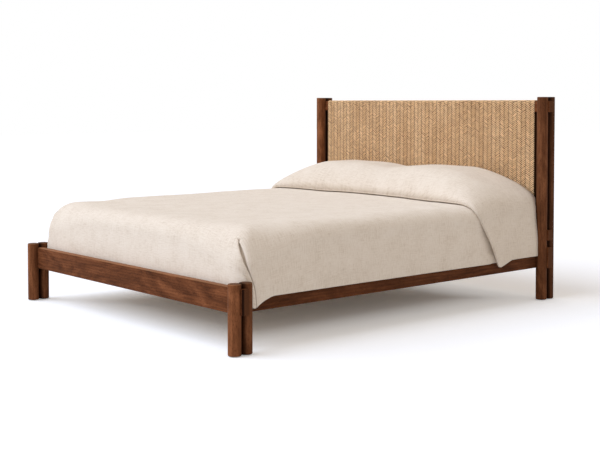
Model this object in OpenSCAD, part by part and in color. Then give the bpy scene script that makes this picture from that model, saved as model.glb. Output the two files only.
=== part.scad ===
// A king-size bed with paired round posts, through rails and a woven cord headboard,
// with its slats, mattress, pillows and coverlet. Millimetres, +Z up, +Y towards the head.
// The origin is on the floor, under the middle of the bed.

/* [Mattress and bedding] */
// Width of the mattress
mattress_w = 1829; // [1370:1:1930]
// Length of the mattress
mattress_l = 2134; // [1900:1:2200]
// Thickness of the mattress
mattress_h = 273; // [200:1:320]
// Radius of the mattress corners seen from above
mattress_corner = 60; // [45:1:70]
// Height of a pillow under the coverlet
pillow_h = 173; // [130:1:200]
// Depth of a pillow along the bed
pillow_l = 385; // [340:1:420]
// Space between the two pillows
pillow_gap = 24; // [10:1:60]
// Thickness of the coverlet
cloth_t = 3; // [2:0.5:5]
// How far the coverlet's side hem hangs below the top of the side rails
hem_drop = 38; // [20:1:60]

/* [Posts] */
// Diameter of each round post
post_d = 62; // [54:1:70]
// Height of the foot posts above the floor
foot_post_top = 324; // [310:1:380]
// Height of the head posts above the floor
head_post_top = 1160; // [1120:1:1300]
// Gap between the two posts of a pair
pair_gap = 0.4; // [0.2:0.1:1.5]
// Radius that eases the rim of a post
post_ease = 4; // [2:0.5:8]

/* [Rails] */
// Thickness of the four cross rails
rail_t = 40; // [34:1:46]
// Height of the foot rail and the head rail
rail_h = 118; // [104:1:126]
// Height of the bed rails' underside above the floor
rail_z = 183; // [160:1:190]
// Radius along the edges of all rails
rail_ease = 5; // [2:0.5:8]
// How far a cross rail's end stands out past the posts
rail_proud = 8; // [0:1:12]
// Thickness of a side rail
side_t = 28; // [24:1:34]
// Height of a side rail
side_h = 98; // [90:1:102]
// How far a side rail's outer face lies inside the posts' centre line
side_inset = 17; // [12:1:22]
// Space between the mattress and the foot rail
end_clear = 16; // [12:1:24]

/* [Headboard] */
// Underside of the headboard's lower rail above the floor
low_rail_z = 341; // [320:1:380]
// Height of the headboard's lower rail
low_rail_h = 59; // [45:1:70]
// Height of the headboard's top rail
top_rail_h = 64; // [50:1:76]
// Distance from the top rail up to the tops of the head posts
top_rail_down = 23; // [15:1:40]
// Thickness of the woven cord
weave_t = 4.5; // [3:0.5:7]
// Space between the weave's side edge and the posts
weave_margin = 32; // [20:1:60]

/* [Slats and centre beam] */
// Thickness of a slat
slat_t = 20; // [16:1:24]
// Width of a slat
slat_w = 75; // [60:1:90]
// How far the slats stand above the side rails
slat_rise = 4; // [2:1:10]
// Width of the strip that carries the slats
ledger_w = 30; // [26:1:40]
// Height of the strip that carries the slats
ledger_h = 32; // [26:1:36]
// Width of the centre beam
beam_w = 45; // [40:1:60]
// Height of the centre beam
beam_h = 70; // [60:1:72]
// Diameter of a centre leg
leg_d = 44; // [36:1:44]
// Distance between the two centre legs
leg_pitch = 900; // [600:10:1200]

/* [Hardware] */
// Diameter of the bolts that clamp a pair of posts
bolt_d = 8; // [6:1:8]
// Length of those bolts under the head
bolt_l = 90; // [86:1:94]
// Thickness of the steel corner brackets
bracket_t = 4; // [3:0.5:5]
// Length of a corner bracket's flange
bracket_l = 60; // [50:1:80]
// Height of a corner bracket
bracket_h = 66; // [56:1:66]
// Diameter of the bracket and hanger screws
screw_d = 6; // [5:0.5:6]
// Thickness of the steel beam hangers
hanger_t = 3; // [2:0.5:4]
// Thickness of the nylon glides under the posts
glide_t = 3; // [2:0.5:6]

/* [Hidden] */
SLATS = 14;

walnut = [0.36, 0.21, 0.13];
pine = [0.80, 0.66, 0.46];
steel = [0.60, 0.61, 0.63];
nylon = [0.15, 0.15, 0.15];
cord = [0.74, 0.58, 0.40];
linen = [0.86, 0.81, 0.74];
ticking = [0.93, 0.92, 0.90];

$fn = 64;
eps = 0.01;

// Clearances
fit = 0.05;       // round a screw, stud or insert in its hole
soft_gap = 0.3;   // between a soft piece and what it lies on or against
hole_gap = 0.2;   // round a bolt that passes through a piece

// Frame
post_r = post_d / 2;
pair_pitch = post_d + pair_gap;
post_x = mattress_w / 2 + post_r;
rail_y = mattress_l / 2 + end_clear + rail_t / 2;
rail_in_y = rail_y - rail_t / 2;
rail_len = 2 * (post_x + post_r + rail_proud);
side_out_x = post_x - side_inset;
side_in_x = side_out_x - side_t;
side_top = rail_z + side_h;
top_rail_z = head_post_top - top_rail_down - top_rail_h;

// Slats
slat_top = side_top + slat_rise;
slat_z = slat_top - slat_t;
slat_len = 2 * (side_in_x - 3);
ledger_end = rail_in_y - bracket_l - 6;
slat_pitch = (2 * ledger_end - slat_w) / (SLATS - 1);
ledger_x = side_in_x - ledger_w / 2;
slat_screw_l = slat_t + 22;
slat_screw_d = 4;
ledger_screw_d = 5;
ledger_screw_l = ledger_w + 18;
bracket_top = slat_z - 4;

// Hardware
bolt_head_d = 1.625 * bolt_d;
bolt_head_h = 5;
counterbore_d = bolt_head_d + 2;
counterbore_depth = 10;
insert_d = 1.5 * bolt_d;
insert_l = 20;
rail_bolt_rise = 32;
screw_head_d = 2 * screw_d;
screw_head_h = 3.5;
screw_l = side_t - bracket_t;
bracket_hole_pitch = 36;
hanger_len = 40;
hanger_ear = 22;
hanger_h = 0.8 * beam_h;
stud_in = 40;
pad_h = 6;
pad_r = 16;
leg_lift = 12;
glide_r = 14;
glide_pin_r = 1.5;
glide_pin_l = 14;

// Bedding
bed_top = slat_top + mattress_h;
half_w = mattress_w / 2;
half_l = mattress_l / 2;
corner_steps = 4;
side_steps = 6;

// ---------------------------------------------------------------- helpers

// A rectangle with its corners rounded, centred in x and standing on y = 0
module eased_rectangle(w, h, r) {
    translate([-w / 2 + r, 0]) square([w - 2 * r, h]);
    translate([-w / 2, r]) square([w, h - 2 * r]);
    for (x = [-w / 2 + r, w / 2 - r], y = [r, h - r]) {
        translate([x, y]) circle(r, $fn = 32);
    }
}

// A bar along X with eased edges, its middle at y and its underside at z
module bar_x(len, y, z, t, h) {
    translate([-len / 2, y, z]) rotate([90, 0, 90]) linear_extrude(len) eased_rectangle(t, h, rail_ease);
}

// A cylinder along +Y from the point
module rod_y(p, r, len) {
    translate(p) rotate([-90, 0, 0]) cylinder(r = r, h = len, $fn = 32);
}

// A cylinder along X from the point, outwards on its own side of the bed
module rod_out(p, r, len) {
    translate(p) rotate([0, p[0] > 0 ? 90 : -90, 0]) cylinder(r = r, h = len, $fn = 32);
}

// Every place where a bolt crosses a pair of posts: [y of the pair, z]
bolt_places = concat(
    [for (y = [-rail_y, rail_y], s = [-1, 1]) [y, rail_z + rail_h / 2 + s * rail_bolt_rise]],
    [[rail_y, low_rail_z + low_rail_h / 2], [rail_y, top_rail_z + top_rail_h / 2]]
);
bolt_seat = pair_pitch / 2 + post_r - counterbore_depth;
insert_face = rail_t / 2;

// ---------------------------------------------------------------- posts

// A turned post with an eased top and foot, standing on its glide
module turned_post(top) {
    h = top - glide_t;
    translate([0, 0, glide_t]) rotate_extrude($fn = 96) {
        square([post_r - post_ease, h]);
        translate([0, post_ease]) square([post_r, h - 2 * post_ease]);
        translate([post_r - post_ease, h - post_ease]) circle(post_ease, $fn = 48);
        translate([post_r - post_ease, post_ease]) circle(post_ease, $fn = 48);
    }
}

// The room that the cross rails and one side rail take out of the posts
module rail_rooms() {
    through = rail_len + 2;
    translate([-through / 2, -rail_y - rail_t / 2, rail_z]) cube([through, rail_t, rail_h]);
    translate([-through / 2, rail_y - rail_t / 2, rail_z]) cube([through, rail_t, rail_h]);
    translate([-through / 2, rail_y - rail_t / 2, low_rail_z]) cube([through, rail_t, low_rail_h]);
    translate([-through / 2, rail_y - rail_t / 2, top_rail_z]) cube([through, rail_t, top_rail_h]);
    for (s = [-1, 1]) {
        translate([s * (side_in_x + side_t / 2), 0, rail_z + side_h / 2])
            cube([side_t, 2 * rail_in_y, side_h], center = true);
    }
}

// The holes for the bolts and their inserts, on both sides of the bed
module bolt_rooms() {
    for (x = [-post_x, post_x], b = bolt_places) {
        rod_y([x, b[0] + bolt_seat, b[1]], counterbore_d / 2, counterbore_depth + 5);
        rod_y([x, b[0] - insert_face - eps, b[1]], bolt_d / 2 + hole_gap, bolt_seat + insert_face + 1);
        rod_y([x, b[0] - insert_face - insert_l - 1, b[1]], insert_d / 2 + fit, insert_l + 1 + eps);
    }
}

module glide_room(x, y) {
    translate([x, y, glide_t - 1]) cylinder(r = glide_pin_r + fit, h = glide_pin_l + 2, $fn = 24);
}

// side is -1 or 1 for x, end is -1 at the foot and 1 at the head, place is -1 or 1 within the pair
module post(side, end, place) {
    x = side * post_x;
    y = end * rail_y + place * pair_pitch / 2;
    color(walnut) difference() {
        translate([x, y, 0]) turned_post(end < 0 ? foot_post_top : head_post_top);
        rail_rooms();
        bolt_rooms();
        glide_room(x, y);
    }
}

// ---------------------------------------------------------------- rails

module cross_rail(y, z, h) {
    color(walnut) difference() {
        bar_x(rail_len, y, z, rail_t, h);
        for (x = [-post_x, post_x], b = bolt_places) {
            rod_y([x, b[0] - rail_t / 2 - 1, b[1]], bolt_d / 2 + hole_gap, rail_t + 2);
        }
        if (h == rail_h) {
            bracket_screw_rooms();
            hanger_screw_rooms();
        }
    }
}

module side_rail(side) {
    color(walnut) difference() {
        translate([side * (side_in_x + side_t / 2), rail_in_y, rail_z])
            rotate([90, 0, 0]) linear_extrude(2 * rail_in_y) eased_rectangle(side_t, side_h, rail_ease);
        bracket_screw_rooms();
        ledger_screw_rooms();
    }
}

// The cord wound round both headboard rails: a flat sleeve with rounded top and foot
module rope_panel() {
    inner_t = rail_t + 2 * soft_gap;
    inner_z = low_rail_z - soft_gap;
    inner_h = top_rail_z + top_rail_h - low_rail_z + 2 * soft_gap;
    w = 2 * (post_x - post_r - weave_margin);
    color(cord) translate([-w / 2, rail_y, inner_z]) rotate([90, 0, 90]) linear_extrude(w) difference() {
        translate([0, -weave_t]) eased_rectangle(inner_t + 2 * weave_t, inner_h + 2 * weave_t, rail_ease + weave_t);
        eased_rectangle(inner_t, inner_h, rail_ease);
    }
}

// ---------------------------------------------------------------- slats and beam

module ledger(side) {
    color(pine) difference() {
        translate([side * ledger_x, 0, slat_z - ledger_h / 2]) cube([ledger_w, 2 * ledger_end, ledger_h], center = true);
        ledger_screw_rooms();
        slat_screw_rooms();
    }
}

function slat_y(i) = -ledger_end + slat_w / 2 + (i - 1) * slat_pitch;

module slat(i) {
    color(pine) difference() {
        translate([-slat_len / 2, slat_y(i), slat_z]) rotate([90, 0, 90]) linear_extrude(slat_len)
            eased_rectangle(slat_w, slat_t, 3);
        slat_screw_rooms();
    }
}

module centre_beam() {
    len = 2 * (rail_in_y - hanger_t);
    color(pine) difference() {
        translate([0, 0, slat_z - beam_h / 2]) cube([beam_w, len, beam_h], center = true);
        for (y = [-leg_pitch / 2, leg_pitch / 2]) {
            translate([0, y, slat_z - beam_h - 1]) cylinder(r = bolt_d / 2 + fit, h = stud_in + 3, $fn = 32);
        }
    }
}

// A steel shoe for the beam's end, on the inner face of the foot or head rail
module beam_hanger(end) {
    beam_z = slat_z - beam_h;
    color(steel) difference() {
        union() {
            translate([-beam_w / 2 - hanger_t, end > 0 ? rail_in_y - hanger_len : -rail_in_y, beam_z - hanger_t])
                cube([beam_w + 2 * hanger_t, hanger_len, hanger_h]);
            translate([-beam_w / 2 - hanger_ear, end > 0 ? rail_in_y - hanger_t : -rail_in_y, beam_z - hanger_t])
                cube([beam_w + 2 * hanger_ear, hanger_t, hanger_h]);
        }
        translate([0, 0, slat_z - beam_h / 2])
            cube([beam_w, 2 * (rail_in_y - hanger_t), beam_h], center = true);
        for (p = hanger_screws(end)) {
            rod_y([p[0], p[1] - screw_l, p[2]], screw_d / 2 + hole_gap, 2 * screw_l);
        }
    }
}

module centre_leg(y) {
    top = slat_z - beam_h;
    color(pine) translate([0, y, 0]) difference() {
        translate([0, 0, leg_lift]) cylinder(r1 = 0.8 * leg_d / 2, r2 = leg_d / 2, h = top - leg_lift);
        translate([0, 0, leg_lift - 1]) cylinder(r = bolt_d / 2 + fit, h = stud_in, $fn = 32);
        translate([0, 0, top - stud_in]) cylinder(r = bolt_d / 2 + fit, h = stud_in + 1, $fn = 32);
    }
}

module levelling_feet() {
    color(nylon) for (y = [-leg_pitch / 2, leg_pitch / 2]) {
        translate([0, y, 0]) rotate_extrude($fn = 48) {
            square([pad_r, pad_h - 2]);
            square([pad_r - 2, pad_h]);
            square([bolt_d / 2, leg_lift + stud_in - 10]);
        }
    }
}

module leg_studs() {
    color(steel) for (y = [-leg_pitch / 2, leg_pitch / 2]) {
        translate([0, y, slat_z - beam_h - stud_in + 8]) cylinder(r = bolt_d / 2, h = 2 * stud_in - 16, $fn = 32);
    }
}

// ---------------------------------------------------------------- brackets and fasteners

// The bracket of one corner, with a flange on the cross rail and one on the side rail
module corner_bracket(side, end) {
    color(steel) difference() {
        at_corner(side, end) translate([side_in_x, rail_in_y, bracket_top - bracket_h])
            linear_extrude(bracket_h) {
                translate([-bracket_l, -bracket_t]) square([bracket_l, bracket_t]);
                translate([-bracket_t, -bracket_l]) square([bracket_t, bracket_l]);
                difference() {
                    translate([-2 * bracket_t, -2 * bracket_t]) square(bracket_t + eps);
                    translate([-2 * bracket_t, -2 * bracket_t]) circle(bracket_t, $fn = 32);
                }
            }
        for (p = cross_screws(side, end)) {
            rod_y([p[0], p[1] - 20, p[2]], screw_d / 2 + hole_gap, 40);
        }
        for (p = side_screws(side, end)) {
            rod_out([p[0] - side * 20, p[1], p[2]], screw_d / 2 + hole_gap, 40);
        }
    }
}

// Mirrors a shape made for the right side and the head end to any corner
module at_corner(side, end) {
    mirror([side < 0 ? 1 : 0, 0, 0]) mirror([0, end < 0 ? 1 : 0, 0]) children();
}

// Where the bracket's screws enter the cross rail and the side rail
function bracket_screw_z() = [for (s = [-1, 1]) bracket_top - bracket_h / 2 + s * bracket_hole_pitch / 2];
function cross_screws(side, end) = [for (z = bracket_screw_z())
    [side * (side_in_x - 0.65 * bracket_l), end * (rail_in_y - bracket_t), z]];
function side_screws(side, end) = [for (z = bracket_screw_z())
    [side * (side_in_x - bracket_t), end * (rail_in_y - 0.65 * bracket_l), z]];
function hanger_screws(end) = [for (s = [-1, 1], k = [0.25, 0.75])
    [s * (beam_w / 2 + hanger_t + (hanger_ear - hanger_t) / 2), end * (rail_in_y - hanger_t),
     slat_z - beam_h - hanger_t + k * hanger_h]];

// A pan-head screw with its head's underside at the point, driven along +Y or -Y
module screw_y(p, end) {
    translate(p) rotate([end > 0 ? -90 : 90, 0, 0]) pan_screw();
}

// The same screw driven outwards along X
module screw_out(p) {
    translate(p) rotate([0, p[0] > 0 ? 90 : -90, 0]) pan_screw();
}

module pan_screw() {
    rotate_extrude($fn = 24) {
        square([screw_d / 2, screw_l]);
        translate([0, -screw_head_h]) square([screw_head_d / 2, screw_head_h]);
    }
}

module bracket_screws() {
    color(steel) for (side = [-1, 1], end = [-1, 1]) {
        for (p = cross_screws(side, end)) screw_y(p, end);
        for (p = side_screws(side, end)) screw_out(p);
    }
}

module bracket_screw_rooms() {
    for (side = [-1, 1], end = [-1, 1]) {
        for (p = cross_screws(side, end)) {
            rod_y([p[0], p[1] - (end < 0 ? screw_l + 1 : 0), p[2]], screw_d / 2 + fit, screw_l + 1);
        }
        for (p = side_screws(side, end)) {
            rod_out(p, screw_d / 2 + fit, screw_l + 1);
        }
    }
}

module hanger_screw_set() {
    color(steel) for (end = [-1, 1], p = hanger_screws(end)) screw_y(p, end);
}

module hanger_screw_rooms() {
    for (end = [-1, 1], p = hanger_screws(end)) {
        rod_y([p[0], p[1] - (end < 0 ? screw_l + 1 : 0), p[2]], screw_d / 2 + fit, screw_l + 1);
    }
}

// A countersunk screw pointing along +Z, with the top of its head at z = 0
module sunk_screw(d, len, extra = 0) {
    cylinder(r = d / 2 + extra, h = len + extra, $fn = 24);
    cylinder(r1 = d + extra, r2 = d / 2 + extra, h = d / 2, $fn = 24);
}

module at_ledger_screws() {
    for (side = [-1, 1], i = [1:2:SLATS - 1]) {
        translate([side * (side_in_x - ledger_w), (slat_y(i) + slat_y(i + 1)) / 2, slat_z - ledger_h / 2])
            rotate([0, side > 0 ? 90 : -90, 0]) children();
    }
}

module ledger_screws() {
    color(steel) at_ledger_screws() sunk_screw(ledger_screw_d, ledger_screw_l);
}

module ledger_screw_rooms() {
    at_ledger_screws() sunk_screw(ledger_screw_d, ledger_screw_l, fit);
}

module at_slat_screws() {
    for (side = [-1, 1], i = [1:SLATS]) {
        translate([side * ledger_x, slat_y(i), slat_top]) rotate([180, 0, 0]) children();
    }
}

module slat_screws() {
    color(steel) at_slat_screws() sunk_screw(slat_screw_d, slat_screw_l);
}

module slat_screw_rooms() {
    at_slat_screws() sunk_screw(slat_screw_d, slat_screw_l, fit);
}

// Bolts that clamp each cross rail between the two posts of its pairs
module post_bolts() {
    color(steel) for (x = [-post_x, post_x], b = bolt_places) {
        rod_y([x, b[0] + bolt_seat - bolt_l, b[1]], bolt_d / 2, bolt_l + eps);
        rod_y([x, b[0] + bolt_seat, b[1]], bolt_head_d / 2, bolt_head_h);
    }
}

// Threaded sleeves let into the far post of each pair
module bolt_inserts() {
    color(steel) for (x = [-post_x, post_x], b = bolt_places) {
        difference() {
            rod_y([x, b[0] - insert_face - insert_l, b[1]], insert_d / 2, insert_l);
            rod_y([x, b[0] - insert_face - insert_l - 1, b[1]], bolt_d / 2 + fit, insert_l + 2);
        }
    }
}

module post_glides() {
    color(nylon) for (side = [-1, 1], end = [-1, 1], place = [-1, 1]) {
        translate([side * post_x, end * rail_y + place * pair_pitch / 2, 0]) {
            cylinder(r = glide_r, h = glide_t, $fn = 48);
            cylinder(r = glide_pin_r, h = glide_t + glide_pin_l, $fn = 24);
        }
    }
}

// ---------------------------------------------------------------- soft pieces

// Points round a rectangle with rounded corners, its straight sides drawn in by bow
function soft_outline(half_x, half_y, r, bow) = [
    for (q = [0:3])
        let (
            sx = [1, -1, -1, 1],
            sy = [1, 1, -1, -1],
            from = [sx[q] * (half_x - r), sy[q] * (half_y - r)],
            to = [sx[(q + 1) % 4] * (half_x - r), sy[(q + 1) % 4] * (half_y - r)],
            out = [cos(90 * q + 90), sin(90 * q + 90)]
        )
        each concat(
            [for (k = [0:corner_steps]) let (a = 90 * (q + k / corner_steps)) from + r * [cos(a), sin(a)]],
            [for (k = [1:side_steps - 1]) let (t = k / side_steps)
                from + t * (to - from) + (r - bow * sin(180 * t)) * out]
        )
];

function raised(outline, z) = [for (p = outline) [p[0], p[1], z]];

// A closed solid through rings of points that climb from the bottom to the top
module ring_solid(rings, bottom, top) {
    n = len(rings[0]);
    last = (len(rings) - 1) * n;
    points = concat([for (ring = rings) each ring], [bottom, top]);
    faces = concat(
        [for (j = [0:len(rings) - 2], i = [0:n - 1])
            let (a = j * n + i, b = j * n + (i + 1) % n)
            each [[a, b + n, b], [a, a + n, b + n]]],
        [for (i = [0:n - 1]) [last + n, i, (i + 1) % n]],
        [for (i = [0:n - 1]) [last + n + 1, last + (i + 1) % n, last + i]]
    );
    polyhedron(points, faces);
}

// The soft edge of the bedding. It falls over this width in from the mattress's outline, by this
// much at the outline, and by this much more at the two corners of the foot
fall_width = 0.55 * mattress_h;
edge_fall = 0.275 * mattress_h;
corner_fall = 0.41 * mattress_h;
corner_reach = 0.86 * mattress_h;

// 1 at a foot corner of a ring, fading along its straight sides
function corner_share(p, half_x, foot_y, r) =
    let (d = max(0, norm([half_x - abs(p[0]), foot_y + p[1]]) - (sqrt(2) - 1) * r))
    1 / (1 + pow(d / corner_reach, 2.7));

// How far the soft edge has fallen at a distance in from its outline, with share of the corner
function soft_fall(inset, share) =
    let (t = min(1, max(0, 1 - inset / fall_width)))
    (edge_fall + corner_fall * share) * (1 - pow(1 - pow(t, 3.6 - share), 1 / (2 - 0.1 * share)));

// Distances in from the outline at which the soft edge has its rings, shared by mattress and coverlet
edge_rings = [0.35 * mattress_h, 0.154 * mattress_h, 0.044 * mattress_h, 0];
flat_ring = 0.37 * half_w;
// How much further in, and lower at the corners, the mattress's own soft edge lies than the coverlet's
under_cloth = 0.02 * mattress_h;

// The mattress: an eased foot, a side drawn in between its seams, and the soft edge above them
module mattress() {
    h = mattress_h;
    waist = 0.026 * h;
    low = 0.2 * h;
    // Each ring's distance in from the outline, its height, and its share of the way up to the soft edge
    side_rings = [
        [0.05 * h, 0, 0], [0.015 * h, 0.03 * h, 0], [0, 0.08 * h, 0], [waist * 0.7, low, 0.1],
        [waist, low, 0.5], [waist * 0.7, low, 0.85]
    ];
    rings = concat(
        [for (s = side_rings)
            [for (p = soft_outline(half_w - s[0], half_l - s[0], mattress_corner - s[0] / 2, waist))
                let (top = max(0.02 * h, h - 1.1 * soft_fall(0, corner_share(p, half_w, half_l, mattress_corner)) - low))
                [p[0], p[1], slat_top + s[1] + s[2] * top]]],
        [for (k = [len(edge_rings) - 1:-1:-1])
            let (s = k < 0 ? flat_ring : edge_rings[k], in = k < 0 ? s : s + under_cloth,
                r = max(mattress_corner - 0.35 * s, 12))
            [for (p = soft_outline(half_w - in, half_l - in, r, waist))
                let (share = corner_share(p, half_w - in, half_l - in, r))
                [p[0], p[1], bed_top - 1.1 * soft_fall(s, share) - under_cloth * share]]]
    );
    color(ticking) ring_solid(rings, [0, 0, slat_top], [0, 0, bed_top]);
}

pillow_side = 0.068 * half_w;      // from the pillow's outer end to the mattress's side
pillow_corner = 0.11 * pillow_l;
pillow_w = half_w - pillow_gap / 2 - pillow_side;
pillow_y = half_l - 10 - pillow_l / 2;
pillow_bow = 0.023 * pillow_l;

// A pillow lying against the headboard, plump in the middle with drawn-in sides
module pillow(side) {
    rise = [
        [0.80, 0], [0.90, 0.07], [0.97, 0.22], [1.00, 0.40], [0.97, 0.58], [0.88, 0.75],
        [0.72, 0.88], [0.50, 0.96], [0.25, 0.99]
    ];
    x = side * (pillow_gap / 2 + pillow_w / 2);
    z = bed_top + soft_gap;
    rings = [for (s = rise)
        [for (p = soft_outline(pillow_w / 2 * (0.4 + 0.6 * s[0]), pillow_l / 2 * s[0], pillow_corner * s[0], pillow_bow))
            [x + p[0], pillow_y + p[1], z + s[1] * pillow_h * lift_across(min(abs(x + p[0]), half_w))]]];
    color(ticking) ring_solid(rings, [x, pillow_y, z], [x, pillow_y, z + pillow_h * lift_across(abs(x))]);
}

// How far the pillows lift the coverlet at a point of the bed's top. The coverlet is tucked
// in front of them along a line that comes forward towards the sides.
pillow_lift = 1.07 * pillow_h;
lift_dip = 0.142 * half_w;
lift_run = 0.39 * pillow_l;
lift_back = 0.26 * pillow_l;
tuck_y = half_l - 1.09 * pillow_l;
tuck_forward = 0.142 * half_w;
function lift_across(ax) =
    (1 - 0.12 * exp(-pow(ax / lift_dip, 2))) * (1 - 0.6 * pow(max(0, (ax / half_w - 0.57) / 0.43), 1.6));
function tuck_at(ax) = tuck_y - tuck_forward * pow(ax / half_w, 1.3);
function lift_along(ax, y) =
    let (front = tuck_at(ax), s = (y - front) / (lift_run + 0.4 * (tuck_y - front)))
    s <= 0 ? 0 : (s < 1 ? sqrt(1 - pow(1 - s, 2)) : 1) * (1 - 0.2 * pow(max(0, (y - half_l + lift_back) / lift_back), 2));
function lift(x, y) =
    let (ax = min(abs(x), half_w))
    pillow_lift * lift_across(ax) * lift_along(ax, y);

// The coverlet's rings run as a U: up one side of the bed, round the foot and down the other.
// Each top ring has its distance in from the mattress's outline
cover_top = concat([0.934 * half_w, 0.64 * half_w, flat_ring], edge_rings);
// Each hanging ring has its share of the drop and its share of the way out to the rail
cover_side = [[0.3, 0.6], [0.52, 1], [1, 1]];
// The coverlet's head edge on the bed, and where it hangs beside the front head post
cover_head_y = half_l - 4;
cover_head_side_y = rail_y - pair_pitch / 2 - post_r - 4;
cover_corner = mattress_corner;
// Shares of the way from the head to the tuck line, and from there to the corner at the foot
pillow_steps = [0, 0.06, 0.16, 0.3, 0.46, 0.62, 0.78, 0.9, 0.97, 1];
body_steps = [0.008, 0.05, 0.14, 0.28, 0.42, 0.56, 0.7, 0.82, 0.9, 0.95, 0.975];
arm_points = len(pillow_steps) + len(body_steps) + 2;
foot_steps = 8;

// Points along one arm of a ring, from the head to where its corner starts
function cover_arm(head, front, y_end) = concat(
    [for (s = pillow_steps) head - s * (head - front)],
    [for (s = body_steps) front - s * (front - y_end)],
    [y_end + 4, y_end]
);

// The plan of one ring, from the head on the left round the foot to the head on the right.
// bow is how far the middle of its foot stands out.
function cover_plan(x, foot_y, r, front, bow = 0) =
    let (
        head = x < post_x - post_r - 6 ? cover_head_y : cover_head_side_y,
        arm = cover_arm(head, front, -foot_y + r)
    )
    concat(
        [for (y = arm) [-x, y]],
        [for (k = [1:corner_steps]) let (a = 90 * k / corner_steps)
            [-x + r - r * cos(a), -foot_y + r - r * sin(a)]],
        [for (k = [1:foot_steps - 1])
            [(-x + r) + 2 * (x - r) * k / foot_steps, -foot_y - bow * sin(180 * k / foot_steps)]],
        [for (k = [corner_steps:-1:1]) let (a = 90 * k / corner_steps)
            [x - r + r * cos(a), -foot_y + r - r * sin(a)]],
        [for (k = [arm_points - 1:-1:0]) [x, arm[k]]]
    );

// Which column of an arm a point of the ring belongs to, past the last one at the foot
function arm_column(i, n) = min(i, n - 1 - i);

// Height of the hem. The sides hang outside the side rails, with a point next to the foot post
// and one where the pillows' part ends. The foot is tucked in behind its rail.
function hem_z(p, column) =
    let (
        from_foot = p[1] + half_l,
        dip = 0.15 * mattress_h * pow(max(0, 1 - max(0, from_foot - 54) / 105), 1.3),
        flap = 10 - 28 * max(0, 1 - abs(p[1] - tuck_at(half_w) - 0.62 * (bed_top - side_top + hem_drop)) / 110)
    )
    column >= arm_points - 1 ? slat_top + 3
        : side_top - hem_drop + (column < len(pillow_steps) ? flap : -dip);

// How far out a hanging column stands from the rest: the pillows' part lies over the body's
// part, and the body's part has shallow folds
function stand_off(column) =
    column < len(pillow_steps) ? 7
    : column > arm_points - 6 || column == len(pillow_steps) ? 0
    : column % 2 == 0 ? 4 : 0.5;

// How far a hanging point at the foot corner is drawn in, where the coverlet has its pleat:
// the pleat starts at the middle of the corner and runs down to its side
function pleat_in(column, share) =
    (column == arm_points + 1 && share < 0.5) || (column == arm_points && share > 0.5 && share < 1) ? 6 : 0;

// All rings of one face of the coverlet, grow is 0 for its underside and cloth_t for its outer face
function cover_rings(grow) =
    let (
        base = bed_top + soft_gap,
        edge_x = half_w + 2 + grow,
        edge_foot = half_l + 2 + grow,
        rail_x = side_out_x + soft_gap + grow,
        rail_foot = half_l + 4 + grow,
        top_rings = [for (s = cover_top)
            let (x = edge_x - s, foot_y = edge_foot - s, r = max(cover_corner + grow - 0.35 * s, 12),
                front = tuck_at(half_w - s) + 0.62 * soft_fall(s, 0))
            [for (p = cover_plan(x, foot_y, r, front, s == cover_top[0] ? 20 : 0))
                [p[0], p[1], base + grow - soft_fall(s, corner_share(p, x, foot_y, r)) + lift(p[0], p[1])]]],
        edge = top_rings[len(top_rings) - 1],
        drop = bed_top - side_top + hem_drop,
        hanging = [for (s = cover_side)
            let (
                plan = cover_plan(edge_x + s[1] * (rail_x - edge_x), edge_foot + s[1] * (rail_foot - edge_foot),
                    cover_corner + grow, tuck_at(half_w) + 0.62 * (edge_fall + s[0] * (drop - edge_fall))),
                n = len(plan)
            )
            [for (i = [0:n - 1])
                let (p = plan[i], c = arm_column(i, n), z = edge[i][2] + s[0] * (hem_z(p, c) - edge[i][2]),
                    out = c < arm_points ? s[1] * stand_off(c) : -pleat_in(c, s[0]))
                [p[0] + sign(p[0]) * (p[0] == 0 ? 0 : out), p[1] + (c < arm_points ? 0 : -out * 0.7), z]]]
    )
    concat(top_rings, hanging);

module coverlet() {
    outer = cover_rings(cloth_t);
    inner = cover_rings(0);
    m = len(outer);
    n = len(outer[0]);
    half = floor(n / 2);
    inside = m * n;
    last = (m - 1) * n;
    points = concat([for (r = outer) each r], [for (r = inner) each r]);
    faces = concat(
        [for (j = [0:m - 2], i = [0:n - 2])
            let (a = j * n + i, b = a + 1)
            each [[a, b + n, a + n], [a, b, b + n]]],
        [for (j = [0:m - 2], i = [0:n - 2])
            let (a = inside + j * n + i, b = a + 1)
            each [[a, a + n, b + n], [a, b + n, b]]],
        [for (i = [0:half - 1])
            let (a = i, b = i + 1, c = n - 1 - i, d = n - 2 - i)
            each i + 1 == d ? [[a, c, b]] : [[a, c, d], [a, d, b]]],
        [for (i = [0:half - 1])
            let (a = inside + i, b = a + 1, c = inside + n - 1 - i, d = c - 1)
            each b == d ? [[a, b, c]] : [[a, d, c], [a, b, d]]],
        [for (i = [0:n - 2])
            let (a = last + i, b = a + 1)
            each [[a, b, b + inside], [a, b + inside, a + inside]]],
        [for (j = [0:m - 2], i = [0, n - 1])
            let (a = j * n + i, b = a + n)
            each i == 0
                ? [[a, b, b + inside], [a, b + inside, a + inside]]
                : [[a, b + inside, b], [a, a + inside, b + inside]]],
        [[0, inside, inside + n - 1], [0, inside + n - 1, n - 1]]
    );
    color(linen) polyhedron(points, faces);
}

// ---------------------------------------------------------------- the bed

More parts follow.
